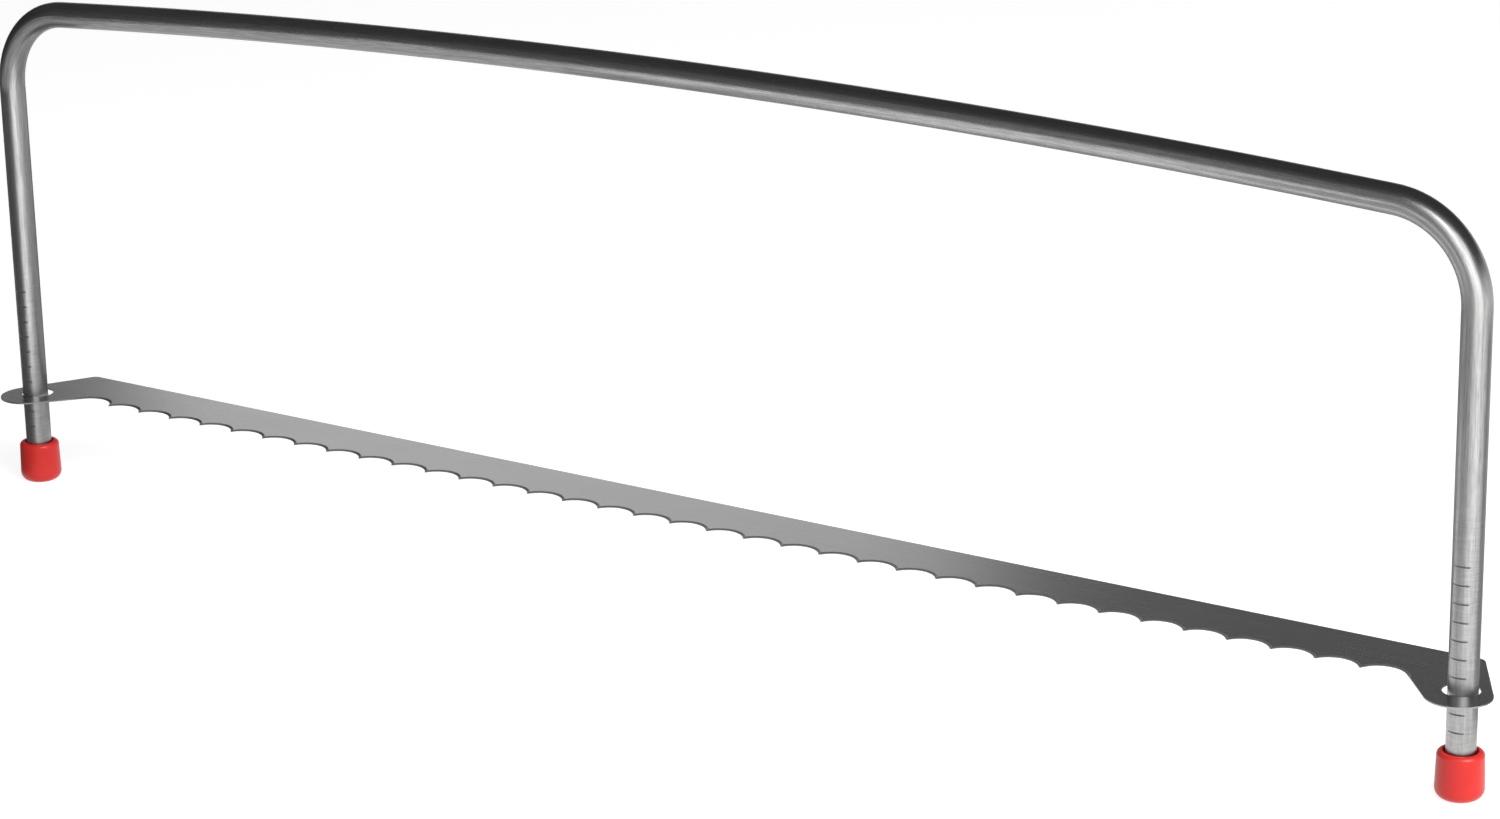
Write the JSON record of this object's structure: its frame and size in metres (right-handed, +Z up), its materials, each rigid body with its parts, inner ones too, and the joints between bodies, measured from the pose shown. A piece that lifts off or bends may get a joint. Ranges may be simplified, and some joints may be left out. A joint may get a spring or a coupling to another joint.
{
  "type": "adjustable cake leveller",
  "caption": "Adjustable cake leveller: a bent steel bow with notched legs, a sliding serrated blade with eyes, and soft push-on foot caps.",
  "frame": {"origin": "middle of the footprint, on the surface that the foot caps stand on", "axes": "+X along the blade, +Y from the teeth to the blade's back, +Z up to the handle bar"},
  "size_m": [0.518, 0.0356, 0.167],
  "materials": {
    "bow_steel": "satin, drawn and lightly brushed",
    "blade_steel": "satin, rolled, with a ground edge",
    "cap_vinyl": "smooth soft vinyl, half gloss"
  },
  "bodies": {
    "bow": {"bow_frame": "bow_steel", "left_foot_cap": "cap_vinyl", "right_foot_cap": "cap_vinyl"},
    "blade": {"serrated_blade": "blade_steel"}
  },
  "joints": [
    {"name": "blade_height", "type": "slide", "parent": "bow", "child": "blade", "axis": [0, 0, 1], "range_m": [-0.01, 0.035]}
  ]
}
